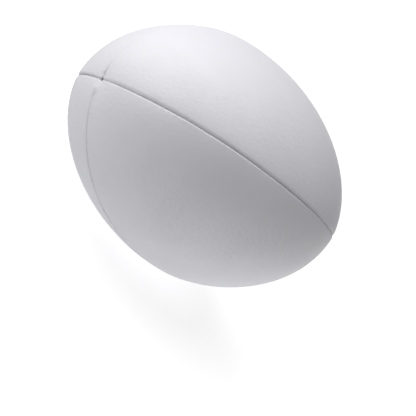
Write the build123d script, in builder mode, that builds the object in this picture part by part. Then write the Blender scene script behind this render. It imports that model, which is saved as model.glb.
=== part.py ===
"""Rugby ball: four stitched covers with a woven lining, around an inflated bladder with a needle valve.

Frame, in millimetres: the origin is the ball's centre, +X runs along its length and +Z is up. One cover
faces each of +Z, -Y, -Z and +Y, and the four seams run from tip to tip half way between them.
"""
import os

from build123d import *

# ---- Driving dimensions ----
ball_length = 290.0  # from tip to tip
ball_width = 185.0  # across the middles of two opposite covers

cover_thickness = 1.3
ply_thickness = 0.45  # one woven ply of the lining; there are two
bond_line = 0.05  # glue film between layers that are laminated together

seam_gap = 0.3  # between the two facing covers at a seam
inner_fold_radius = 0.3  # inside radius of a panel's lining where it turns in at a seam
flange_depth = 8.0  # from the ball's surface to the cut edge of the turned-in seam allowance

thread_radius = 0.3
thread_sides = 6  # a waxed thread is pressed flat-sided where it lies tight
thread_clearance = 0.1  # from a thread to the lining that it lies against
stitch_depth = 4.8  # from the ball's surface to the row of stitches
stitch_end_margin = 14.0  # from a tip to the first stitch, measured along the seam

bladder_wall = 0.7
bladder_clearance = 0.4  # from the bladder to the seam flanges and their threads
bladder_tip_cut = 0.5  # flattened off each tip of the bladder

nipple_radius = 3.5  # the valve's top, which shows in the cover
nipple_recess = 0.4  # from the ball's surface down to the nipple's top
nipple_clearance = 0.2  # from the nipple to the hole in the cover and its lining
housing_flange_radius = 14.0
housing_flange_thickness = 1.0
stem_radius = 5.5
stem_length = 12.0  # from the flange inwards
stem_wall = 2.2
stem_clearance = 0.1  # from the stem to the patch and the bladder
ring_radius = 20.0  # woven reinforcement ring round the valve hole, inside the lining
ring_thickness = 0.3
patch_radius = 18.0  # rubber patch between the housing and the bladder
patch_thickness = 0.4
core_clearance = 0.02  # from the core to the housing that grips it
core_recess = 0.3  # from the nipple's top down to the core's top
core_stalk_radius = 2.0
needle_radius = 1.1  # bore that an inflation needle enters
needle_depth = 5.0
slit_width = 0.1  # slit that closes behind the needle
slit_span = 3.0

# ---- Depths of the layers, from the ball's surface inwards ----
half_length = ball_length / 2
half_width = ball_width / 2
outer_ply_depth = cover_thickness + bond_line
inner_ply_depth = outer_ply_depth + ply_thickness + bond_line
lining_depth = inner_ply_depth + ply_thickness  # inside face of the lining
fold_radius = lining_depth + inner_fold_radius  # outside radius of a cover where it turns in at a seam
ring_depth = lining_depth + bond_line
housing_depth = ring_depth + ring_thickness + bond_line
patch_depth = housing_depth + housing_flange_thickness + bond_line
dent_depth = patch_depth + patch_thickness + bond_line  # where the valve presses the bladder in
bladder_depth = lining_depth + bond_line

panel_turns = {"top": 45, "front": 135, "bottom": 225, "rear": 315}  # about X, from the seam planes
seam_turns = {"upper_rear": 45, "upper_front": 135, "lower_front": 225, "lower_rear": 315}
layers = {
    "cover": (0.0, cover_thickness),
    "lining_outer": (outer_ply_depth, outer_ply_depth + ply_thickness),
    "lining_inner": (inner_ply_depth, lining_depth),
}
valve_plane = Plane(origin=(0, 0, 0), x_dir=(1, 0, 0), z_dir=(0, 1, 0))  # the valve points along +Y
TO_OUTSIDE = (Align.CENTER, Align.CENTER, Align.MIN)  # from a valve plane outwards
TO_CENTRE = (Align.CENTER, Align.CENTER, Align.MAX)  # from a valve plane towards the ball's centre


# ---- Shapes that several pieces share ----
def surface_line(depth):
    """Half ellipse from tip to tip, at a depth below the ball's surface, in the XY plane."""
    with BuildLine() as line:
        EllipticalCenterArc((0, 0), half_length - depth, half_width - depth, 0, arc_size=180)
    return line.edge()


def egg(depth):
    """The ball's whole body inside a depth below its surface."""
    arc = surface_line(depth)
    with BuildPart() as body:
        with BuildSketch(Plane.XY):
            with BuildLine():
                add(arc)
                Line(arc @ 1, arc @ 0)
            make_face()
        revolve(axis=Axis.X)
    return body.part


def quarter(depth):
    """The quarter of the body that one panel bounds, with its seam faces on the XY and XZ planes."""
    seam_face = seam_gap / 2 + depth
    with BuildPart() as body:
        add(egg(depth))
        with Locations((0, seam_face, seam_face)):
            Box(ball_length, half_width, half_width, align=(Align.CENTER, Align.MIN, Align.MIN),
                mode=Mode.INTERSECT)
        fillet(body.edges(), fold_radius - depth)
    return body.part


def disc(radius, outer_depth, inner_depth):
    """Round piece on the valve's axis that follows the ball's curve between two depths."""
    with BuildPart() as body:
        with Locations(Rotation(180, 0, 0)):
            add(egg(outer_depth))
            add(egg(inner_depth), mode=Mode.SUBTRACT)
        with Locations(valve_plane):
            Cylinder(radius, half_width, align=TO_OUTSIDE, mode=Mode.INTERSECT)
    return body.part


# ---- Covers and the two plies of their lining ----
def panel_layer(outer_depth, inner_depth):
    """One layer of a panel with its turned-in flanges."""
    with BuildPart() as layer:
        add(quarter(outer_depth))
        add(quarter(inner_depth), mode=Mode.SUBTRACT)
        add(egg(flange_depth), mode=Mode.SUBTRACT)
    return layer.part


def valve_hole():
    """Hole for the valve's nipple through a cover and its lining."""
    with Locations(valve_plane):
        Cylinder(nipple_radius + nipple_clearance, ball_width, align=TO_OUTSIDE, mode=Mode.SUBTRACT)


os.makedirs("parts", exist_ok=True)

for layer_name, (outer_depth, inner_depth) in layers.items():
    master = panel_layer(outer_depth, inner_depth)
    for side, turn in panel_turns.items():
        with BuildPart() as panel:
            with Locations(Rotation(turn, 0, 0)):
                add(master)
            if side == "rear":
                valve_hole()
        panel.part.label = f"{layer_name}_{side}"
        export_step(panel.part, f"parts/{panel.part.label}.step")

# ---- Seam threads: one along each of the two flanges of a seam ----
flange_back = seam_gap / 2 + lining_depth  # from the seam's plane to the far side of a turned-in flange
thread_height = flange_back + thread_clearance + thread_radius


def thread_run(height):
    """One thread beside the seam that lies in the XY plane, at a height above that plane."""
    seam_line = surface_line(stitch_depth)
    margin = stitch_end_margin / seam_line.length
    path = seam_line.trim(margin, 1 - margin).moved(Location((0, 0, height)))
    with BuildPart() as thread:
        with BuildSketch(Plane(origin=path @ 0, z_dir=path % 0)):
            RegularPolygon(thread_radius, side_count=thread_sides)
        sweep(path=path)
    return thread.part


threads = [thread_run(-thread_height), thread_run(thread_height)]
for seam, turn in seam_turns.items():
    with BuildPart() as seam_thread:
        with Locations(Rotation(turn, 0, 0)):
            add(threads)
    seam_thread.part.label = f"seam_thread_{seam}"
    export_step(seam_thread.part, f"parts/{seam_thread.part.label}.step")

# ---- Bladder: inflated against the lining, with a channel round each seam's flanges ----
channel_half_width = thread_height + thread_radius + bladder_clearance


def bladder_body(wall):
    """The bladder's body, inset by a wall, before it is hollowed."""
    floor_depth = flange_depth + bladder_clearance + wall
    with BuildPart() as floor:
        add(egg(floor_depth))
        Box(ball_length - 2 * (floor_depth + bladder_tip_cut), ball_width, ball_width, mode=Mode.INTERSECT)
    with BuildPart() as channels:
        for seam_plane in (Plane.XY, Plane.XZ):
            with Locations(seam_plane):
                Box(ball_length, ball_width, 2 * (channel_half_width + wall))
        add(floor.part, mode=Mode.SUBTRACT)
    with BuildPart() as body:
        add(egg(bladder_depth + wall))
        add(channels.part, mode=Mode.SUBTRACT)
    return body.part


def seated_body(wall):
    """The same body in its place in the ball, pressed in by the valve."""
    with BuildPart() as dent:
        with Locations(valve_plane):
            Cylinder(ring_radius + bladder_clearance + wall, half_width, align=TO_OUTSIDE)
        with Locations(Rotation(panel_turns["bottom"], 0, 0)):
            add(egg(dent_depth + wall), mode=Mode.SUBTRACT)
    with BuildPart() as body:
        with Locations(Rotation(panel_turns["top"], 0, 0)):
            add(bladder_body(wall))
        add(dent.part, mode=Mode.SUBTRACT)
    return body.part


with BuildPart() as bladder:
    add(seated_body(0))
    add(seated_body(bladder_wall), mode=Mode.SUBTRACT)
    with Locations(valve_plane):
        Cylinder(stem_radius + stem_clearance, ball_width, align=TO_OUTSIDE, mode=Mode.SUBTRACT)
bladder.part.label = "bladder"
export_step(bladder.part, "parts/bladder.step")


# ---- Valve: reinforcement ring, housing, core and patch, all on the valve's axis ----
def washer(radius, hole, outer_depth, thickness):
    """Curved ring on the valve's axis."""
    with BuildPart() as body:
        add(disc(radius, outer_depth, outer_depth + thickness))
        with Locations(valve_plane):
            Cylinder(hole, ball_width, mode=Mode.SUBTRACT)
    return body.part


with BuildPart() as valve_ring:
    add(washer(ring_radius, nipple_radius + nipple_clearance, ring_depth, ring_thickness))
valve_ring.part.label = "valve_ring"
export_step(valve_ring.part, "parts/valve_ring.step")

with BuildPart() as valve_patch:
    add(washer(patch_radius, stem_radius + stem_clearance, patch_depth, patch_thickness))
valve_patch.part.label = "valve_patch"
export_step(valve_patch.part, "parts/valve_patch.step")

nipple_top = half_width - nipple_recess
shoulder = half_width - housing_depth - housing_flange_thickness / 2  # where the nipple widens into the stem
stem_end = half_width - patch_depth - stem_length
core_body_radius = stem_radius - stem_wall

with BuildPart() as valve_housing:
    with BuildSketch(Plane.XY):
        with BuildLine():
            Polyline((0, nipple_top), (nipple_radius, nipple_top), (nipple_radius, shoulder),
                     (stem_radius, shoulder), (stem_radius, stem_end), (0, stem_end), close=True)
        make_face()
    revolve(axis=Axis.Y)
    fillet(valve_housing.edges().group_by(Axis.Y)[0], stem_wall / 2)
    add(disc(housing_flange_radius, housing_depth, housing_depth + housing_flange_thickness))
    with BuildSketch(Plane.XY):
        with BuildLine():
            Polyline((0, nipple_top), (core_stalk_radius, nipple_top), (core_stalk_radius, shoulder),
                     (core_body_radius, shoulder), (core_body_radius, stem_end), (0, stem_end), close=True)
        make_face()
    revolve(axis=Axis.Y, mode=Mode.SUBTRACT)
valve_housing.part.label = "valve_housing"
export_step(valve_housing.part, "parts/valve_housing.step")

core_top = nipple_top - core_recess
core_shoulder = shoulder - core_clearance
with BuildPart() as valve_core:
    with BuildSketch(Plane.XY):
        with BuildLine():
            Polyline((0, core_top), (core_stalk_radius - core_clearance, core_top),
                     (core_stalk_radius - core_clearance, core_shoulder),
                     (core_body_radius - core_clearance, core_shoulder),
                     (core_body_radius - core_clearance, stem_end), (0, stem_end), close=True)
        make_face()
    revolve(axis=Axis.Y)
    with Locations(valve_plane.offset(core_top)):
        Cylinder(needle_radius, needle_depth, align=TO_CENTRE, mode=Mode.SUBTRACT)
        Box(slit_span, slit_width, core_top - stem_end, align=TO_CENTRE, mode=Mode.SUBTRACT)
valve_core.part.label = "valve_core"
export_step(valve_core.part, "parts/valve_core.step")
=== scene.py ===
# %% [markdown]
# # A rugby ball, from its stitched covers to its valve
# The ball is four leather-like covers around a bladder, with a woven lining glued inside each cover and a
# needle valve in the middle of the rear one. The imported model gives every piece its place, and this
# lesson gives the pieces their looks. The units are metres, +X runs along the ball and +Z is up.

import math

import bmesh
import bpy
import numpy as np
from mathutils import Matrix, Vector, noise


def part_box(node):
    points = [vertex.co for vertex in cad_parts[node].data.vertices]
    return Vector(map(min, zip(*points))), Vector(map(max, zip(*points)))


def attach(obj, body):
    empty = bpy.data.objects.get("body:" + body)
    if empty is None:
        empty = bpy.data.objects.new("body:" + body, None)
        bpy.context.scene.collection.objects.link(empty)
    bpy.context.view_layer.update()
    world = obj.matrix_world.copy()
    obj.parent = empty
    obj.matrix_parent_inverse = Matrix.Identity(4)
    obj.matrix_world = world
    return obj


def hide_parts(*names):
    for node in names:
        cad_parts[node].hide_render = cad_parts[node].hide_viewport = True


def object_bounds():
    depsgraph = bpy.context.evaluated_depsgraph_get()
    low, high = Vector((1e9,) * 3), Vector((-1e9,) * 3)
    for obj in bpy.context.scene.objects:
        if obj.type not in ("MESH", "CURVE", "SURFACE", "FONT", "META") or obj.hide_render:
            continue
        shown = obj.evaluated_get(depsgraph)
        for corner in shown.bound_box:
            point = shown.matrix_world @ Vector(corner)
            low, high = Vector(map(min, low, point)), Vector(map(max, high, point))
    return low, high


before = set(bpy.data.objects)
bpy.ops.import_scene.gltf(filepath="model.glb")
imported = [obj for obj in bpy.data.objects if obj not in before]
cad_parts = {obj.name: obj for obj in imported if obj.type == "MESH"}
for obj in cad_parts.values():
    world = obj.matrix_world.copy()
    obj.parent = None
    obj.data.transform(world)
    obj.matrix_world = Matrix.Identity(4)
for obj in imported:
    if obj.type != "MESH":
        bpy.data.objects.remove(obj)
frame_low, frame_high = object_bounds()
MM = 0.001
half_length = frame_high.x
half_width = frame_high.z
centre = (frame_low + frame_high) / 2
print(f"ball {2 * half_length / MM:.1f} mm long, {2 * half_width / MM:.1f} mm across its covers")

# %% [markdown]
# ## The camera
# The ball is seen from beside its near tip, a little from above, with the long seam running away to the
# lower right. The view is fixed first, because every later choice is judged through it. Three directions
# describe it: which way the picture's right, its top and the camera itself lie from the ball. A long lens
# far away keeps the tips from swelling.

# %% Camera
PICTURE_RIGHT = Vector((0.558, -0.117, 0.821)).normalized()
PICTURE_UP = Vector((-0.447, 0.791, 0.417)).normalized()
TOWARDS_CAMERA = PICTURE_RIGHT.cross(PICTURE_UP).normalized()
MEAN_RADIUS = half_width * 1.032  # a cover's middle is lower than its corners
CAMERA_DISTANCE = 24.1 * MEAN_RADIUS
PICTURE_SHARE = 116.4 / 416  # the mean radius as a share of the picture's width
SENSOR = 36.0


def look_at(place, aim, up):
    """World matrix of something that stands at a place and looks at an aim along its own -Z."""
    back = (place - aim).normalized()
    right = up.cross(back).normalized()
    return Matrix.Translation(place) @ Matrix((right, back.cross(right), back)).transposed().to_4x4()


camera_data = bpy.data.cameras.new("camera")
camera_data.sensor_width = SENSOR
camera_data.lens = SENSOR * PICTURE_SHARE * CAMERA_DISTANCE / MEAN_RADIUS
camera = bpy.data.objects.new("camera", camera_data)
bpy.context.scene.collection.objects.link(camera)
aim = centre + (PICTURE_RIGHT * 0.0061 - PICTURE_UP * 0.4268) * MEAN_RADIUS
camera.matrix_world = look_at(centre + TOWARDS_CAMERA * CAMERA_DISTANCE, aim, PICTURE_UP)
bpy.context.scene.camera = camera
print(f"lens {camera_data.lens:.0f} mm from {CAMERA_DISTANCE:.2f} m")

# %% [markdown]
# ## The ball's skin as one formula
# An inflated ball of four covers isn't quite round across: each cover bulges less than a circle would,
# and meets its neighbours at a soft corner, the seam. It could be sculpted, but a formula lets the
# covers, the lining and the threads all follow the same skin. `skin` gives a point of a cover, from an
# angle along the ball's length and an angle across the cover, at any depth below the surface.

# %% The skin
SEAM_ANGLE = math.radians(45)  # from the middle of a cover to its seams
CORNER_SPREAD = 0.15  # how much wider than high a cover's oval section is, half way along the ball
CORNER_FADE = 0.85  # how far the corner has gone at the tips
TIP_POWER = 0.96  # 1 would be an ellipse; less is fuller towards the tips
NEAR_TIP_SHIFT = Vector((0, -0.5, -3.6)) * MM  # the seams don't cross exactly on the ball's axis
FAR_TIP_SHIFT = Vector((0, 0.8, 5.4)) * MM
COVER_TURNS = {"top": 0, "front": 90, "bottom": 180, "rear": 270}  # degrees about X, from +Z


def flat_radius(along):
    """Height of the middle of a cover over the ball's axis."""
    return half_width * np.sin(along) ** TIP_POWER


def spread(along):
    """How much wider than high a cover's oval section is."""
    return 1 + CORNER_SPREAD * (1 - CORNER_FADE * np.cos(along) ** 4)


def section_factor(along, across):
    """How much further from the axis than its middle a cover is, at an angle across it."""
    return 1 / np.sqrt(np.cos(across) ** 2 + (np.sin(across) / spread(along)) ** 2)


def skin_normal(along, across):
    """Direction straight out of the ball."""
    slope = half_width * TIP_POWER * np.sin(along) ** (TIP_POWER - 1) * np.cos(along)
    run = half_length * np.sin(along)
    size = np.hypot(slope, run)
    parts = np.broadcast_arrays(-slope / size, run / size * np.sin(across), run / size * np.cos(across))
    return np.stack(parts, -1)


def skin(along, across, depth, normal_across, turn):
    """Points of a cover turned about X from +Z, at a depth below the surface."""
    factor = section_factor(along, across)
    radius = flat_radius(along) * factor
    turned = math.radians(turn)
    y, z = radius * np.sin(across - turned), radius * np.cos(across - turned)
    near = np.cos(along) > 0
    share = np.cos(along) ** 4
    y = y + share * np.where(near, NEAR_TIP_SHIFT.y, FAR_TIP_SHIFT.y)
    z = z + share * np.where(near, NEAR_TIP_SHIFT.z, FAR_TIP_SHIFT.z)
    level = np.clip(np.hypot(y, z) / (half_width * factor), 0, 1) ** (1 / TIP_POWER)
    x = np.where(near, -1, 1) * half_length * np.sqrt(1 - level ** 2)
    normal = skin_normal(along, normal_across - turned)
    return np.stack([x, y, z], -1) - depth[..., None] * normal


def walked_along(along):
    """Distance walked along a seam from the near tip to an angle."""
    fine = np.linspace(0, math.pi, 4001)
    line = np.stack([half_length * np.cos(fine), flat_radius(fine) * section_factor(fine, SEAM_ANGLE)], -1)
    walked = np.concatenate([[0], np.cumsum(np.linalg.norm(np.diff(line, axis=0), axis=1))])
    return np.interp(along, fine, walked), lambda distance: np.interp(distance, walked, fine)


seam_length = float(walked_along(math.pi)[0])
angle_at = walked_along(0.0)[1]
print(f"each seam is {seam_length / MM:.0f} mm from tip to tip")

# %% [markdown]
# ## How a cover turns in at a seam
# The covers are sewn face to face and turned right side out, so at a seam each one bends over and dives
# between its neighbour and itself. Real seams show a soft roll a few millimetres wide and then a closed
# line, because the air presses the two folds together. The profile here is two arcs: a wide roll down to
# a slope, and a tight tuck from that slope to the flange, which stands straight in. An inner layer takes
# the same arcs with smaller radii, so that every layer lies on the one outside it.

# %% Profile of a seam
SEAM_GAP = 0.03 * MM  # between the folds of two covers
SEAM_TURNS = {"upper_rear": 0, "upper_front": 90, "lower_front": 180, "lower_rear": 270}
ROLL_RADII = {  # mm, of each cover beside each of its seams; some seams are pulled tighter than others
    ("top", "upper_front"): 5.6, ("front", "upper_front"): 2.5, ("front", "lower_front"): 1.5,
    ("bottom", "lower_front"): 2.1, ("bottom", "lower_rear"): 5.5, ("rear", "lower_rear"): 3.4,
    ("rear", "upper_rear"): 1.2, ("top", "upper_rear"): 1.2,
}
OPENNESS = {  # how open each seam's fold is along the ball and at its tips, where 0 would be invisible
    "upper_front": (1.0, 1.0), "lower_front": (0.8, 0.15),
    "lower_rear": (1.0, 1.0), "upper_rear": (0.1, 1.5),
}
TIP_ROLL_RADIUS = 2.8  # mm, which every seam comes to at the tips
TIP_REACH = 10 * MM  # how far along a seam that lasts
ROLL_SLOPE = math.radians(44)  # slope of the roll where it meets the other cover
TUCK_RADIUS = 0.35 * MM
FLANGE_DEPTH = 8.0 * MM


def column_list(flange, tuck, roll, face):
    """Half a cover from its cut edge to its middle: (kind, share) for each column of its grid."""
    columns = [("flange", 1 - index / flange) for index in range(flange)]
    columns += [("tuck", index / tuck) for index in range(tuck)]
    columns += [("roll", index / roll) for index in range(roll)]
    grade = 2.4
    shares = (np.exp(grade * np.arange(face + 1) / face) - 1) / (math.exp(grade) - 1)
    return columns + [("face", float(share)) for share in shares]


def tip_share(walked):
    """How much of its shape at the tips a seam still has, at distances walked along it."""
    return np.exp(-((np.minimum(walked, seam_length - walked) / TIP_REACH) ** 2))


def openness(seam, walked):
    """How much of a full fold a seam shows. A tightly pulled one is almost flush."""
    middle, at_tip = OPENNESS[seam]
    return middle + (at_tip - middle) * tip_share(walked)


def roll_radius(side, seam, walked):
    """Radius of a cover's roll beside one of its seams, at distances walked along the seam."""
    middle = ROLL_RADII[side, seam]
    return MM * (middle + (TIP_ROLL_RADIUS - middle) * tip_share(walked))


def seam_profile(reach, full_radius, full_tuck, layer_depth, columns):
    """Distance from the seam's plane and depth below the skin of each column, for rows of a given reach."""
    full_roll = SEAM_GAP / 2 + full_tuck * (1 - math.sin(ROLL_SLOPE)) + full_radius * math.sin(ROLL_SLOPE)
    scale = np.clip(0.8 * reach / full_roll, 0, 1)
    roll, tuck = full_radius * scale, full_tuck * scale
    gap = np.minimum(SEAM_GAP / 2, 0.02 * reach)
    roll_edge = gap + tuck * (1 - math.sin(ROLL_SLOPE)) + roll * math.sin(ROLL_SLOPE)
    flange = np.minimum(gap + layer_depth, 0.3 * reach)
    arc = np.maximum(roll - layer_depth, 0.2 * roll)
    slope = np.full_like(reach, ROLL_SLOPE)
    if layer_depth > 0:
        slope = np.arcsin(np.clip((roll_edge - flange) / arc, 0.1, 0.95))
    corner_depth = roll - arc * np.cos(slope) - (layer_depth if layer_depth > 0 else 0)
    tuck_depth = tuck * math.cos(ROLL_SLOPE) if layer_depth == 0 else np.zeros_like(reach)
    distance = np.zeros((len(reach), len(columns)))
    depth = np.zeros((len(reach), len(columns)))
    for index, (kind, share) in enumerate(columns):
        if kind == "flange":
            top = corner_depth + tuck_depth
            distance[:, index] = flange
            depth[:, index] = top + share * np.maximum(FLANGE_DEPTH - layer_depth - top, 0)
        elif kind == "tuck" and layer_depth == 0:
            angle = math.pi / 2 + share * (ROLL_SLOPE - math.pi / 2)
            distance[:, index] = gap + tuck * (1 - math.sin(angle))
            depth[:, index] = corner_depth + tuck * (math.cos(ROLL_SLOPE) - math.cos(angle))
        elif kind in ("tuck", "roll"):
            turned = 0.1 * share if kind == "tuck" else 0.1 + 0.9 * share
            angle = slope * (1 - (turned if layer_depth > 0 else share))
            distance[:, index] = roll_edge - arc * np.sin(angle)
            depth[:, index] = np.maximum(arc * (1 - np.cos(angle)), 0)
    return distance, depth, roll_edge


# %% [markdown]
# ## Where a cover needs its detail
# A cover is plain in the middle and busy at its edges. A plain grid, as fine as the edges need, would
# have millions of faces. So the grid's columns stand close together at the seams and spread out towards
# the middle, and its rows are spaced evenly along the ball, with a few more where the four covers turn in
# round the pinhole at each tip.

# %% Rows of a cover's grid
TIP_HOLE = 1.5 * MM  # radius of the pinhole where the four covers meet
TIP_ROLL = 1.5 * MM
TIP_TUCK = 4.0 * MM  # how far the covers run in at the pinhole


def along_for_radius(radius):
    """Angle along the ball at which the middle of a cover has a radius."""
    return np.arcsin((radius / half_width) ** (1 / TIP_POWER))


def row_list(count, roll, tuck):
    """(angle along the ball, depth) of each row, from the near pinhole to the far one."""
    turns = np.linspace(0, math.pi / 2, roll, endpoint=False)
    radii = TIP_HOLE + TIP_ROLL * (1 - np.cos(turns))
    depths = TIP_ROLL * (1 - np.sin(turns))
    hole = float(along_for_radius(TIP_HOLE))
    tip = [(hole, TIP_TUCK * (1 - index / tuck) + TIP_ROLL) for index in range(tuck)]
    tip += [(float(along_for_radius(radius)), float(depth)) for radius, depth in zip(radii, depths)]
    first = float(walked_along(along_for_radius(TIP_HOLE + TIP_ROLL))[0])
    rows = tip + [(float(angle_at(walk)), 0.0) for walk in np.linspace(first, seam_length - first, count)]
    return rows + [(math.pi - angle, depth) for angle, depth in reversed(tip)]


# %% [markdown]
# ## What stitches and air do to a cover
# Beside its seam a cover sags a little towards the stitches, and each stitch pulls a small pucker. Where
# the seams meet, all four covers dip together, and the excess leather of one seam stands up in a small
# pleat. Away from the seams the surface still isn't perfect: the lining and the air leave slow, shallow
# waves. Each of these is a depth that is added to the formula, so they are real shape and not only
# shading.

# %% Relief of a cover
STITCH_PITCH = 5.0 * MM
PLEAT_SEAM = "lower_front"
PLEAT_HEIGHT = 1.3 * MM
PLEAT_PLACE = 9.0 * MM  # walked from the near tip
PLEAT_LENGTH = 4.5 * MM
PLEAT_WIDTH = 2.8 * MM
SAG_DEPTH, SAG_WIDTH = 0.22 * MM, 6.5 * MM
PUCKER_DEPTH, PUCKER_WIDTH = 0.32 * MM, 2.4 * MM
SLACK_DEPTH, SLACK_WIDTH = 0.30 * MM, 7.0 * MM
SLACK_PITCH = 23 * MM
DIMPLE_DEPTHS, DIMPLE_WIDTH = (1.0 * MM, 0.5 * MM), 7.0 * MM  # at the near and the far tip
WAVE_DEPTH = 0.035 * MM
WAVES_PER_METRE = (62, 135)


def wave_height(place):
    """Height of the slow waves at a point, about -1.5 to 1.5."""
    slow_waves, quick_waves = WAVES_PER_METRE
    place = Vector(place)
    return noise.noise(place * slow_waves) + 0.5 * noise.noise(place * quick_waves + Vector((9, 0, 0)))


def cover_relief(along, seam, seam_distance, places, seed):
    """Depth of the sag, puckers and waves at each point of half a cover's surface."""
    walked = walked_along(along)[0]
    pleat = PLEAT_HEIGHT * np.exp(-(((walked - PLEAT_PLACE) / PLEAT_LENGTH) ** 2))
    pleat = pleat * np.exp(-((seam_distance / PLEAT_WIDTH) ** 2))
    sag = SAG_DEPTH * np.exp(-((seam_distance / SAG_WIDTH) ** 2))
    wander = [noise.noise(Vector((value / SLACK_PITCH, seed, 0))) for value in walked[:, 0]]
    wander = np.array(wander)[:, None]
    pull = 0.5 + 0.5 * np.cos(2 * math.pi * (walked / STITCH_PITCH + seed + 0.35 * wander))
    pucker = PUCKER_DEPTH * pull * (1 + 1.3 * wander) * np.exp(-seam_distance / PUCKER_WIDTH)
    slack = SLACK_DEPTH * wander * np.exp(-seam_distance / SLACK_WIDTH)
    dimple = np.where(np.cos(along) > 0, *DIMPLE_DEPTHS)
    dimple = dimple * np.exp(-((flat_radius(along) / DIMPLE_WIDTH) ** 2))
    coarse = places[::4, ::2]
    waves = np.array([[wave_height(place) for place in line] for line in coarse])
    rows = np.linspace(0, waves.shape[0] - 1, places.shape[0])
    columns = np.linspace(0, waves.shape[1] - 1, places.shape[1])
    down = np.array([np.interp(rows, np.arange(waves.shape[0]), line) for line in waves.T]).T
    waves = np.array([np.interp(columns, np.arange(waves.shape[1]), line) for line in down])
    beside_seam = (sag + pucker + slack) * openness(seam, walked)
    if seam == PLEAT_SEAM:
        beside_seam = beside_seam - pleat
    return beside_seam + dimple + WAVE_DEPTH * (1 + waves)


# %% [markdown]
# ## One layer of a panel
# The same recipe makes a cover and each ply of its lining. A flat grid is created and every vertex is
# moved to its place on the skin, once for the layer's outer face and once for its inner face, and the two
# are bridged along their cut edges. Sewing flat cloth with a simulation would also work, but the skin's
# shape is already known, so moving the grid is exact and quick. Each face also gets a UV map in metres,
# for the weave, and the cover an attribute that says how near its seam a point is, for the painted shade in
# the seam's fold.

# %% Build one face of a layer
SEAM_SHADE_REACH = 0.8 * MM  # how far from a seam the painted shade in its fold reaches


def half_points(side, sign, layer_depth, rows, columns, relief):
    """Places and seam nearness of one half of a cover's grid, from its cut edge to its middle."""
    turn = COVER_TURNS[side]
    seam_turn = turn if sign > 0 else (turn + 90) % 360
    seam = next(name for name, its_turn in SEAM_TURNS.items() if its_turn == seam_turn)
    along = np.array([row[0] for row in rows])[:, None]
    tip_depth = np.array([row[1] for row in rows])[:, None]
    corner = flat_radius(along) * section_factor(along, SEAM_ANGLE)
    reach = corner[:, 0] * math.sin(SEAM_ANGLE)
    walked = walked_along(along[:, 0])[0]
    opened = openness(seam, walked) if relief else 1
    distance, depth, roll_edge = seam_profile(reach, roll_radius(side, seam, walked) * opened,
                                              TUCK_RADIUS * opened, layer_depth, columns)
    face_start = np.arcsin(np.clip(roll_edge / corner[:, 0], 0, 1))
    for index, (kind, share) in enumerate(columns):
        if kind == "face":
            distance[:, index] = corner[:, 0] * np.sin(face_start + share * (SEAM_ANGLE - face_start))
    across = SEAM_ANGLE - np.arcsin(np.clip(distance / corner, 0, 1))
    on_edge = np.array([kind != "face" for kind, share in columns])[None, :]
    outward = np.where(on_edge, SEAM_ANGLE, across)
    total = np.hypot(depth, tip_depth) + layer_depth
    if relief:
        flat = skin(along, sign * across, total, sign * outward, turn)
        total = total + cover_relief(along, seam, distance, flat, sign + turn / 90 * 7.3)
    # Nearness to the seam, which the leather uses for painted shade in the seam's fold.
    nearness = np.exp(-distance / SEAM_SHADE_REACH) * openness(seam, walked)[:, None]
    return skin(along, sign * across, total, sign * outward, turn), nearness


def layer_points(*request):
    """Place of each grid vertex, as rows by columns by xyz, and how near its seam it is."""
    side, *rest = request
    halves = [half_points(side, sign, *rest) for sign in (-1, 1)]
    return [np.concatenate([first, second[:, -2::-1]], axis=1) for first, second in zip(*halves)]


def add_face(bm, points, nearness):
    """A created grid, moved to the layer's points, with its UV map and its nearness to the seam."""
    row_count, column_count = points.shape[:2]
    made = bmesh.ops.create_grid(bm, x_segments=row_count - 1, y_segments=column_count - 1, size=1)
    steps = np.linalg.norm(np.diff(points, axis=1), axis=2)
    over = np.concatenate([np.zeros((row_count, 1)), np.cumsum(steps, axis=1)], axis=1)
    over -= over[:, column_count // 2][:, None]
    spine = np.linalg.norm(np.diff(points[:, column_count // 2], axis=0), axis=1)
    down = np.concatenate([[0], np.cumsum(spine)])
    uv, seam = bm.loops.layers.uv["panel"], bm.verts.layers.float["seam_nearness"]
    for vertex in made["verts"]:
        row = round((vertex.co.x + 1) / 2 * (row_count - 1))
        column = round((vertex.co.y + 1) / 2 * (column_count - 1))
        vertex.co = points[row, column]
        vertex[seam] = nearness[row, column]
        for loop in vertex.link_loops:
            loop[uv].uv = (down[row], over[row, column])
    return made["verts"]


# %% [markdown]
# ## The hole for the valve
# The middle of the rear cover has a punched hole that the valve's nipple shows through. Cutting it with a
# boolean would leave a ragged fan of long faces. Instead a small rectangle of the grid is deleted,
# created circles are laid on the skin around the valve's axis, and each loop is bridged to the next, so
# the rings give the hole a soft rounded lip.

# %% Open the hole
valve_low, valve_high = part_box("valve_core")
VALVE_AXIS = Vector(((valve_low.x + valve_high.x) / 2, 0, (valve_low.z + valve_high.z) / 2))
HOLE_RINGS = (  # radius and depth, mm
    (9.0, 0.04), (7.0, 0.03), (5.2, 0.02), (4.4, 0.03), (4.0, 0.10), (3.8, 0.24), (3.7, 0.42),
)
CLEARED = 11 * MM  # half the side of the square that is deleted


def rear_height(x, across):
    """Height of the rear cover's skin over the plane of the ball's axis, near the cover's middle."""
    along = math.acos(-x / half_length)
    return math.sqrt(flat_radius(along) ** 2 - (across / spread(along)) ** 2)


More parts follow.
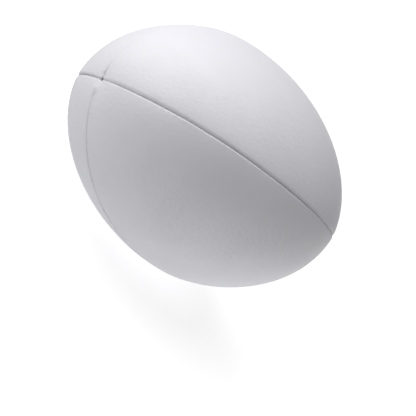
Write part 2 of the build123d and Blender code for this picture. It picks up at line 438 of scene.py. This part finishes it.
def open_hole(bm, verts, layer_depth):
    """Clear the middle of one face of the rear panel and bridge rings into it. Gives the hole's edges."""
    faces = dict.fromkeys(face for vertex in verts for face in vertex.link_faces)
    middles = {face: face.calc_center_median() for face in faces}
    cleared = [face for face, middle in middles.items() if max(abs(middle.x), abs(middle.z)) < CLEARED]
    cleared_edges = dict.fromkeys(edge for face in cleared for edge in face.edges)
    rim = [edge for edge in cleared_edges if any(face not in cleared for face in edge.link_faces)]
    bmesh.ops.delete(bm, geom=cleared, context="FACES")
    loops = [rim]
    quarter_turn = Matrix.Rotation(math.pi / 2, 4, "X")
    for radius, depth in HOLE_RINGS:
        made = bmesh.ops.create_circle(bm, segments=len(rim), radius=radius * MM, matrix=quarter_turn)
        ring = made["verts"]
        for vertex in ring:
            vertex.co.x += VALVE_AXIS.x
            vertex.co.z += VALVE_AXIS.z
            vertex.co.y = rear_height(vertex.co.x, vertex.co.z) - depth * MM - layer_depth
        loops.append(list(dict.fromkeys(edge for vertex in ring for edge in vertex.link_edges)))
    uv = bm.loops.layers.uv["panel"]
    for outer, inner in zip(loops, loops[1:]):
        for face in bmesh.ops.bridge_loops(bm, edges=outer + inner)["faces"]:
            for loop in face.loops:
                loop[uv].uv = (loop.vert.co.x + half_length, loop.vert.co.z)
    return loops[-1]


# %% Build a whole layer
def link_piece(name, data):
    """Put new data into the scene as an object at the origin."""
    piece = bpy.data.objects.new(name, data)
    bpy.context.scene.collection.objects.link(piece)
    return piece


def layer_piece(name, side, layer_depth, thickness, rows, columns, relief=False):
    """A closed sheet: its outer and inner faces, bridged along their edges and round the valve's hole."""
    bm = bmesh.new()
    bm.loops.layers.uv.new("panel")
    bm.verts.layers.float.new("seam_nearness")
    edges, holes = [], []
    for depth, rough in ((layer_depth, relief), (layer_depth + thickness, False)):
        verts = add_face(bm, *layer_points(side, depth, rows, columns, rough))
        linked = dict.fromkeys(edge for vertex in verts for edge in vertex.link_edges)
        edges += [edge for edge in linked if edge.is_boundary]
        if side == "rear":
            holes += open_hole(bm, verts, depth)
    bmesh.ops.bridge_loops(bm, edges=edges)
    if holes:
        bmesh.ops.bridge_loops(bm, edges=holes)
    bmesh.ops.recalc_face_normals(bm, faces=bm.faces)
    if bm.calc_volume(signed=True) < 0:
        bmesh.ops.reverse_faces(bm, faces=bm.faces)
    for face in bm.faces:
        face.smooth = True
    mesh = bpy.data.meshes.new(name)
    bm.to_mesh(mesh)
    open_edges = sum(edge.is_boundary for edge in bm.edges)
    volume = bm.calc_volume() / MM ** 3 / 1000
    print(f"{name}: {len(mesh.polygons)} faces, {open_edges} open edges, {volume:.1f} cm3")
    bm.free()
    piece = link_piece(name, mesh)
    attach(piece, "root")
    return piece


# %% [markdown]
# ## The four covers
# Each cover stands for its solid in the imported model, which stays in the simulation for collision. A
# cover is a sheet that is cut flat as a long leaf shape and then stretched over the lining by the air.

# %% Make the covers
COVER_THICKNESS = 1.3 * MM
cover_rows = row_list(400, 5, 3)
cover_columns = column_list(2, 3, 9, 28)
covers = {}
for side in COVER_TURNS:
    piece = layer_piece(f"cover_{side}_skin", side, 0, COVER_THICKNESS, cover_rows, cover_columns,
                        relief=True)
    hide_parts(f"cover_{side}")
    covers[side] = piece

# %% [markdown]
# ## Two woven plies behind each cover
# Leather alone would stretch out of shape, so plies of tightly woven cloth are glued inside it. They
# can't be seen on a finished ball, but they are what a cut-open one shows. They need fewer rows than the
# cover, because nothing fine is on them.

# %% Make the lining
PLY_THICKNESS = 0.45 * MM
BOND_LINE = 0.05 * MM
lining_rows = row_list(110, 3, 2)
lining_columns = column_list(2, 0, 3, 12)
linings = {}
for ply, name in enumerate(("outer", "inner")):
    ply_depth = COVER_THICKNESS + BOND_LINE + ply * (PLY_THICKNESS + BOND_LINE)
    for side in COVER_TURNS:
        piece = layer_piece(f"lining_{name}_{side}_cloth", side, ply_depth, PLY_THICKNESS,
                            lining_rows, lining_columns)
        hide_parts(f"lining_{name}_{side}")
        linings[name, side] = piece

# %% [markdown]
# ## Stitches
# A seam is sewn through both flanges, out of sight, with two waxed threads that pass through the same
# holes in opposite directions, so that each side shows an unbroken row of stitches. A thread is a curve
# with a round section: a polyline that steps through the flanges and along them, with its corners cut off
# where the thread bends round the leather.

# %% Sew the seams
THREAD_RADIUS = 0.3 * MM
STITCH_DEPTH = 4.8 * MM
STITCH_END = 14 * MM
flange_back = SEAM_GAP / 2 + COVER_THICKNESS + 2 * (BOND_LINE + PLY_THICKNESS)
THREAD_HEIGHT = flange_back + 0.1 * MM + THREAD_RADIUS
THREAD_BEND = 0.6 * MM
THREAD_STAGGER = 0.9 * MM  # so that two threads in one hole don't run through each other


def stitch_line(start, side):
    """(distance along the seam, height over its plane) of a thread that steps through at every hole."""
    line = []
    for hole in np.arange(start, seam_length - STITCH_END, STITCH_PITCH):
        line += [(hole - THREAD_BEND, side * THREAD_HEIGHT), (hole, side * (THREAD_HEIGHT - THREAD_BEND)),
                 (hole, -side * (THREAD_HEIGHT - THREAD_BEND)), (hole + THREAD_BEND, -side * THREAD_HEIGHT)]
        side = -side
    return np.array(line)


stitches = {}
for seam, turn in SEAM_TURNS.items():
    curve = bpy.data.curves.new(f"stitches_{seam}", "CURVE")
    curve.dimensions = "3D"
    curve.bevel_depth = THREAD_RADIUS
    curve.bevel_resolution = 1
    curve.use_fill_caps = True
    radial = SEAM_ANGLE - math.radians(turn)
    sideways = np.array([0, math.cos(radial), -math.sin(radial)])
    for start, side in ((STITCH_END, 1), (STITCH_END + THREAD_STAGGER, -1)):
        line = stitch_line(start, side)
        depth = np.full(len(line), STITCH_DEPTH)
        places = skin(angle_at(line[:, 0]), SEAM_ANGLE, depth, SEAM_ANGLE, turn) + line[:, 1:] * sideways
        spline = curve.splines.new("POLY")
        spline.points.add(len(places) - 1)
        for point, place in zip(spline.points, places):
            point.co = (*place, 1)
    drawn = bpy.data.objects.new(curve.name, curve)
    mesh = bpy.data.meshes.new_from_object(drawn)
    bpy.data.objects.remove(drawn)
    stitches[seam] = link_piece(f"stitches_{seam}", mesh)
    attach(stitches[seam], "root")
    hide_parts(f"seam_thread_{seam}")
print(f"{len(stitch_line(STITCH_END, 1)) // 4} stitches a thread in each seam")

# %% [markdown]
# ## Effects that several finishes share
# Grain, mottling and weave each turn up in more than one material, so each is a node group, built
# once and given its own values where it is used. `Group` is a small helper that names a group's sockets
# and joins nodes with little typing.

# %% Helper for node groups
class Group:
    """A shader node group under construction."""

    def __init__(self, name, inputs, outputs):
        self.tree = bpy.data.node_groups.new(name, "ShaderNodeTree")
        for label, kind, value in inputs:
            socket = self.tree.interface.new_socket(label, in_out="INPUT", socket_type=kind)
            if value is not None:
                socket.default_value = value
        for label, kind in outputs:
            self.tree.interface.new_socket(label, in_out="OUTPUT", socket_type=kind)
        self.inlet = self.tree.nodes.new("NodeGroupInput")
        self.outlet = self.tree.nodes.new("NodeGroupOutput")

    def node(self, kind, links=(), **settings):
        return add_node(self.tree, kind, links, **settings)

    def out(self, label, socket):
        self.tree.links.new(socket, self.outlet.inputs[label])


def add_node(tree, kind, links=(), **settings):
    """A node whose inputs are linked or set by name, and whose other settings are given as keywords."""
    made = tree.nodes.new(kind)
    for key, value in settings.items():
        setattr(made, key, value)
    for label, value in dict(links).items():
        if isinstance(value, bpy.types.NodeSocket):
            tree.links.new(value, made.inputs[label])
        else:
            made.inputs[label].default_value = value
    return made


def maths(tree, operation, first, second=0.5):
    """Output of a math node with two inputs."""
    return add_node(tree, "ShaderNodeMath", {0: first, 1: second}, operation=operation).outputs[0]


# %% [markdown]
# ### Grain
# Coated leather has a fine net of creases between tiny pillows. A smooth Voronoi pattern gives the
# pillows, and noise breaks their rhythm. The output is a height from 0 to 1, so each material can say how
# deep it is.

# %% Grain group
grain = Group("fine_grain",
              [("Vector", "NodeSocketVector", None), ("Cells per metre", "NodeSocketFloat", 1000.0)],
              [("Height", "NodeSocketFloat")])
grain_place = grain.inlet.outputs["Vector"]
warp = grain.node("ShaderNodeTexNoise", {"Vector": grain_place, "Scale": 300.0, "Detail": 1.0})
warped = grain.node("ShaderNodeVectorMath", {0: warp.outputs["Color"], 1: (0.5, 0.5, 0.5)},
                    operation="SUBTRACT")
nudge = grain.node("ShaderNodeVectorMath", {0: warped.outputs[0], "Scale": 0.0009}, operation="SCALE")
moved = grain.node("ShaderNodeVectorMath", {0: grain_place, 1: nudge.outputs[0]}, operation="ADD")
cells = grain.node("ShaderNodeTexVoronoi", {"Vector": moved.outputs[0], "Smoothness": 0.35,
                                            "Scale": grain.inlet.outputs["Cells per metre"]},
                   feature="SMOOTH_F1")
pillow = maths(grain.tree, "SUBTRACT", 1.0, cells.outputs["Distance"])
specks = grain.node("ShaderNodeTexNoise", {"Vector": moved.outputs[0], "Scale": 2600.0, "Detail": 2.0})
faint_specks = maths(grain.tree, "MULTIPLY", specks.outputs["Fac"], 0.25)
grain.out("Height", maths(grain.tree, "ADD", pillow, faint_specks))

# %% [markdown]
# ### Mottling
# No batch of leather, rubber or cloth is one flat colour. Slow noise drifts between two close colours,
# and a finer one adds a little cloudiness.

# %% Mottling group
mottle = Group("mottling",
               [("Vector", "NodeSocketVector", None), ("Patches per metre", "NodeSocketFloat", 18.0),
                ("Colour", "NodeSocketColor", (0.8, 0.8, 0.8, 1)),
                ("Other colour", "NodeSocketColor", (0.7, 0.7, 0.7, 1))],
               [("Colour", "NodeSocketColor"), ("Mask", "NodeSocketFloat")])
slow = mottle.node("ShaderNodeTexNoise", {"Vector": mottle.inlet.outputs["Vector"], "Detail": 4.0,
                                          "Scale": mottle.inlet.outputs["Patches per metre"],
                                          "Roughness": 0.55})
even = mottle.node("ShaderNodeMapRange", {"Value": slow.outputs["Fac"], "From Min": 0.32, "From Max": 0.68})
drift = mottle.node("ShaderNodeMix", {"Factor": even.outputs["Result"], 6: mottle.inlet.outputs["Colour"],
                                      7: mottle.inlet.outputs["Other colour"]}, data_type="RGBA")
mottle.out("Colour", drift.outputs[2])
mottle.out("Mask", even.outputs["Result"])

# %% [markdown]
# ### Weave
# Plain weave is threads that pass over and under each other in turn. Two sets of rounded ridges, each
# lifted where a checker says that it is on top, give its height, and the checker also tells warp from
# weft.

# %% Weave group
weave = Group("plain_weave",
              [("Vector", "NodeSocketVector", None), ("Threads per metre", "NodeSocketFloat", 900.0)],
              [("Height", "NodeSocketFloat"), ("Warp", "NodeSocketFloat")])
scaled = weave.node("ShaderNodeVectorMath", {0: weave.inlet.outputs["Vector"],
                                             "Scale": weave.inlet.outputs["Threads per metre"]},
                    operation="SCALE")
axes = weave.node("ShaderNodeSeparateXYZ", {0: scaled.outputs[0]})
ridges = []
for axis in ("X", "Y"):
    turned = maths(weave.tree, "MULTIPLY", axes.outputs[axis], math.pi)
    ridges.append(maths(weave.tree, "ABSOLUTE", maths(weave.tree, "SINE", turned)))
checker = weave.node("ShaderNodeTexChecker", {"Vector": scaled.outputs[0], "Scale": 1.0})
on_top = checker.outputs["Fac"]
woven = weave.node("ShaderNodeMix", {"Factor": on_top, 2: ridges[0], 3: ridges[1]}, data_type="FLOAT")
weave.out("Height", woven.outputs[0])
weave.out("Warp", on_top)


# %% Helper for materials
def start_material(name, coordinates="Object"):
    """A new material with its shader, and the coordinates that its pattern reads."""
    material = bpy.data.materials.new(name)
    material.use_nodes = True
    tree = material.node_tree
    shader = tree.nodes["Principled BSDF"]
    return material, tree, shader, tree.nodes.new("ShaderNodeTexCoord").outputs[coordinates]


def place_group(tree, group, links):
    """A node group in a material, with its inputs linked or set."""
    made = tree.nodes.new("ShaderNodeGroup")
    made.node_tree = group.tree
    for label, value in links.items():
        if isinstance(value, bpy.types.NodeSocket):
            tree.links.new(value, made.inputs[label])
        else:
            made.inputs[label].default_value = value
    return made


def roughen(tree, shader, mask, low, high):
    """Drive the shader's roughness from a mask."""
    spread_out = add_node(tree, "ShaderNodeMapRange", {"Value": mask, "To Min": low, "To Max": high})
    tree.links.new(spread_out.outputs["Result"], shader.inputs["Roughness"])


def emboss(tree, shader, height, depth):
    """Feed a height through a Bump node, with its real depth in metres."""
    bump = add_node(tree, "ShaderNodeBump", {"Height": height, "Distance": depth, "Strength": 1.0})
    tree.links.new(bump.outputs["Normal"], shader.inputs["Normal"])


# %% [markdown]
# ## White leather for the covers
# The covers are a cool white with a soft sheen: a clean coat over fine grain. The colour drifts a little,
# the roughness drifts with it, and a darker grey is painted into the fold of each seam as shade.

# %% Leather
def leather():
    material, tree, shader, place = start_material("white_leather")
    tint = place_group(tree, mottle, {"Vector": place, "Patches per metre": 21.0,
                                      "Colour": (0.815, 0.814, 0.860, 1),
                                      "Other colour": (0.786, 0.785, 0.830, 1)})
    # Painted shade: a dark grey is mixed into the colour in the fold of each seam, more where the fold is
    # open.
    nearness = add_node(tree, "ShaderNodeAttribute", attribute_name="seam_nearness")
    painted_seam_shade = maths(tree, "MULTIPLY", nearness.outputs["Fac"], 0.38)
    seam_shaded = add_node(tree, "ShaderNodeMix", {"Factor": painted_seam_shade, 6: tint.outputs["Colour"],
                                              7: (0.42, 0.41, 0.40, 1)}, data_type="RGBA")
    tree.links.new(seam_shaded.outputs[2], shader.inputs["Base Color"])
    roughen(tree, shader, tint.outputs["Mask"], 0.47, 0.56)
    relief = place_group(tree, grain, {"Vector": place, "Cells per metre": 1050.0})
    creased = add_node(tree, "ShaderNodeMapping", {"Vector": place, "Scale": (1.0, 1.7, 1.7)})
    creases = add_node(tree, "ShaderNodeTexNoise", {"Vector": creased.outputs["Vector"], "Scale": 190.0,
                                                    "Detail": 3.0, "Roughness": 0.6})
    broad = maths(tree, "MULTIPLY", creases.outputs["Fac"], 4.6)
    emboss(tree, shader, maths(tree, "ADD", relief.outputs["Height"], broad), 0.06 * MM)
    return material


white_leather = leather()
for cover in covers.values():
    cover.data.materials.append(white_leather)

# %% [markdown]
# ## Cloth for the lining and the ring round the valve
# The plies are a tight cotton and polyester weave, stiff with glue. The outer ply is a little darker,
# because the glue has soaked into it. The ring round the valve's hole is the same weave, read from its
# own place.

# %% Cloth
def cloth(name, colour, other, threads, coordinates, stiff):
    material, tree, shader, place = start_material(name, coordinates)
    if coordinates == "Object":
        turned = add_node(tree, "ShaderNodeMapping", {"Vector": place, "Rotation": (math.pi / 2, 0, 0)})
        place = turned.outputs["Vector"]
    tint = place_group(tree, mottle, {"Vector": place, "Patches per metre": 40.0,
                                      "Colour": colour, "Other colour": other})
    threads_on = place_group(tree, weave, {"Vector": place, "Threads per metre": threads})
    # Painted shade: the cloth's colour is darkened where a thread dips under its neighbour.
    shade = add_node(tree, "ShaderNodeMapRange", {"Value": threads_on.outputs["Height"],
                                                  "To Min": 0.72, "To Max": 1.0})
    deep = add_node(tree, "ShaderNodeMix", {"Factor": 1.0, 6: tint.outputs["Colour"],
                                            7: shade.outputs["Result"]},
                    data_type="RGBA", blend_type="MULTIPLY")
    tree.links.new(deep.outputs[2], shader.inputs["Base Color"])
    roughen(tree, shader, threads_on.outputs["Height"], 0.9 - stiff, 0.8 - stiff)
    emboss(tree, shader, threads_on.outputs["Height"], 0.12 * MM)
    shader.inputs["Sheen Weight"].default_value = 0.2
    return material


ply_cloth = {
    "outer": cloth("glued_outer_ply", (0.62, 0.57, 0.47, 1), (0.55, 0.50, 0.41, 1), 1100.0, "UV", 0.25),
    "inner": cloth("inner_ply", (0.74, 0.71, 0.64, 1), (0.69, 0.66, 0.59, 1), 1100.0, "UV", 0.05),
}
for (ply, side), piece in linings.items():
    piece.data.materials.append(ply_cloth[ply])

# %% [markdown]
# ## Rubber, and the waxed thread
# The bladder is thin grey butyl with a powdery bloom, which keeps it from sticking to the cloth. The
# valve's housing and patch are moulded harder, and the soft core that the needle goes through is paler.
# One function makes them all, because they differ only in colour, bloom and grain. The thread is waxed,
# so it is glossier than the cloth, and its twist shows as slanting ridges.

# %% Rubber
def rubber(name, colour, bloom, bloom_share, cells, rough):
    material, tree, shader, place = start_material(name)
    powder = place_group(tree, mottle, {"Vector": place, "Patches per metre": 55.0, "Colour": (0, 0, 0, 1),
                                        "Other colour": (1, 1, 1, 1)})
    share = maths(tree, "MULTIPLY", powder.outputs["Mask"], bloom_share)
    bloomed = add_node(tree, "ShaderNodeMix", {"Factor": share, 6: colour, 7: bloom}, data_type="RGBA")
    tree.links.new(bloomed.outputs[2], shader.inputs["Base Color"])
    roughen(tree, shader, powder.outputs["Mask"], rough, rough + 0.18)
    moulded = place_group(tree, grain, {"Vector": place, "Cells per metre": cells})
    emboss(tree, shader, moulded.outputs["Height"], 0.02 * MM)
    return material


def waxed_thread():
    material, tree, shader, place = start_material("waxed_thread")
    tint = place_group(tree, mottle, {"Vector": place, "Patches per metre": 160.0,
                                      "Colour": (0.72, 0.70, 0.64, 1),
                                      "Other colour": (0.60, 0.57, 0.50, 1)})
    tree.links.new(tint.outputs["Colour"], shader.inputs["Base Color"])
    roughen(tree, shader, tint.outputs["Mask"], 0.35, 0.5)
    twist = add_node(tree, "ShaderNodeTexWave", {"Vector": place, "Scale": 420.0, "Distortion": 0.6},
                     wave_type="BANDS", bands_direction="DIAGONAL")
    emboss(tree, shader, twist.outputs["Fac"], 0.08 * MM)
    return material


# %% Give the carried-over pieces their finish
BLOOM = (0.42, 0.42, 0.43, 1)
PALE, BLACK = (0.62, 0.62, 0.63, 1), (0.05, 0.05, 0.055, 1)
finishes = {
    "bladder": rubber("butyl_bladder", (0.045, 0.045, 0.048, 1), BLOOM, 0.22, 700.0, 0.48),
    "valve_housing": rubber("moulded_housing", PALE, (0.74, 0.74, 0.74, 1), 0.5, 1500.0, 0.42),
    "valve_core": rubber("needle_core", (0.46, 0.46, 0.48, 1), (0.60, 0.60, 0.61, 1), 0.5, 1700.0, 0.36),
    "valve_patch": rubber("rubber_patch", BLACK, BLOOM, 0.15, 900.0, 0.55),
    "valve_ring": cloth("ring_cloth", (0.70, 0.68, 0.62, 1), (0.64, 0.62, 0.56, 1), 1000.0, "Object", 0.1),
}
for node, finish in finishes.items():
    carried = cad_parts[node]
    for material_slot in carried.material_slots:
        material_slot.material = finish
    print(node, "has", finish.name)
thread_finish = waxed_thread()
for piece in stitches.values():
    piece.data.materials.append(thread_finish)

# %% [markdown]
# ## A pale floor
# The ball lies on a wide sheet of pale paper. In a studio such a sheet is lit from all round, more on the
# side where the big lamps stand, so it also lights the ball from below. Two soft pools of emission do
# this. Light Path lets the camera see the paper evenly bright, whatever light it gives.

# %% Floor
FLOOR_POOLS = (  # which way each grows, and its strength
    ((1.0, -0.2, 0.0), 0.59),
    ((0.5, -0.866, 0.0), 0.38),
)
POOL_REACH = 0.35  # metres from the middle to where a pool is full
FLOOR_SEEN = 0.74


def floor_material():
    material, tree, shader, place = start_material("floor_paper")
    tint = place_group(tree, mottle, {"Vector": place, "Patches per metre": 3.0,
                                      "Colour": (0.56, 0.56, 0.56, 1),
                                      "Other colour": (0.555, 0.555, 0.555, 1)})
    tree.links.new(tint.outputs["Colour"], shader.inputs["Base Color"])
    shader.inputs["Roughness"].default_value = 0.9
    shader.inputs["Specular IOR Level"].default_value = 0.1
    shader.inputs["Emission Color"].default_value = (1, 1, 1, 1)
    given = 0.0
    for direction, strength in FLOOR_POOLS:
        side = add_node(tree, "ShaderNodeVectorMath", {0: place, 1: direction}, operation="DOT_PRODUCT")
        pool = add_node(tree, "ShaderNodeMapRange", {"Value": side.outputs["Value"],
                                                     "From Min": -POOL_REACH, "From Max": POOL_REACH,
                                                     "To Max": strength},
                        interpolation_type="SMOOTHSTEP")
        given = maths(tree, "ADD", pool.outputs["Result"], given)
    seen = tree.nodes.new("ShaderNodeLightPath").outputs["Is Camera Ray"]
    glow = add_node(tree, "ShaderNodeMix", {"Factor": seen, 2: given, 3: FLOOR_SEEN}, data_type="FLOAT")
    tree.links.new(glow.outputs[0], shader.inputs["Emission Strength"])
    return material


bm = bmesh.new()
bmesh.ops.create_grid(bm, x_segments=1, y_segments=1, size=30)
bmesh.ops.translate(bm, verts=bm.verts, vec=(0, 0, frame_low.z - 0.2 * MM))
floor_mesh = bpy.data.meshes.new("floor")
bm.to_mesh(floor_mesh)
bm.free()
floor = link_piece("floor", floor_mesh)
floor.data.materials.append(floor_material())

# %% [markdown]
# ## Soft studio light
# Large square lamps stand round the ball at the same distance, each named for where it is in the picture.
# Most of the light comes from the picture's top, so the upper cover is bright and the one below the long
# seam is grey. The others only fill.

# %% Lights
WORLD_LIGHT = 0.02
WORLD_SEEN = 0.95  # the wall behind the floor is as pale as the floor
LAMP_SIZE = 1.6
LAMP_DISTANCE = 2.2
LAMPS = {  # direction as (picture's right, up, towards the camera), and power in watts
    "top": ((0, 1, 0), 15.0),
    "top_right": ((0.7, 0.7, 0.2), 21.2),
    "top_front": ((0, 0.75, 0.65), 27.1),
    "right": ((1, 0, 0.15), 2.4),
}
for name, (direction, power) in LAMPS.items():
    lamp_data = bpy.data.lights.new(name, "AREA")
    lamp_data.size = LAMP_SIZE
    lamp_data.energy = power
    lamp = link_piece(f"lamp_{name}", lamp_data)
    ways = zip(direction, (PICTURE_RIGHT, PICTURE_UP, TOWARDS_CAMERA))
    towards = sum((way * share for share, way in ways), Vector()).normalized()
    lamp.matrix_world = look_at(centre + towards * LAMP_DISTANCE, centre, Vector((0.1, 0.2, 1)))

bpy.context.scene.view_settings.view_transform = "Standard"
world = bpy.data.worlds.new("studio")
bpy.context.scene.world = world
world.use_nodes = True
background = world.node_tree.nodes["Background"]
background.inputs["Color"].default_value = (1, 1, 1, 1)
behind = world.node_tree.nodes.new("ShaderNodeLightPath").outputs["Is Camera Ray"]
strength = add_node(world.node_tree, "ShaderNodeMix", {"Factor": behind, 2: WORLD_LIGHT, 3: WORLD_SEEN},
                    data_type="FLOAT")
world.node_tree.links.new(strength.outputs[0], background.inputs["Strength"])
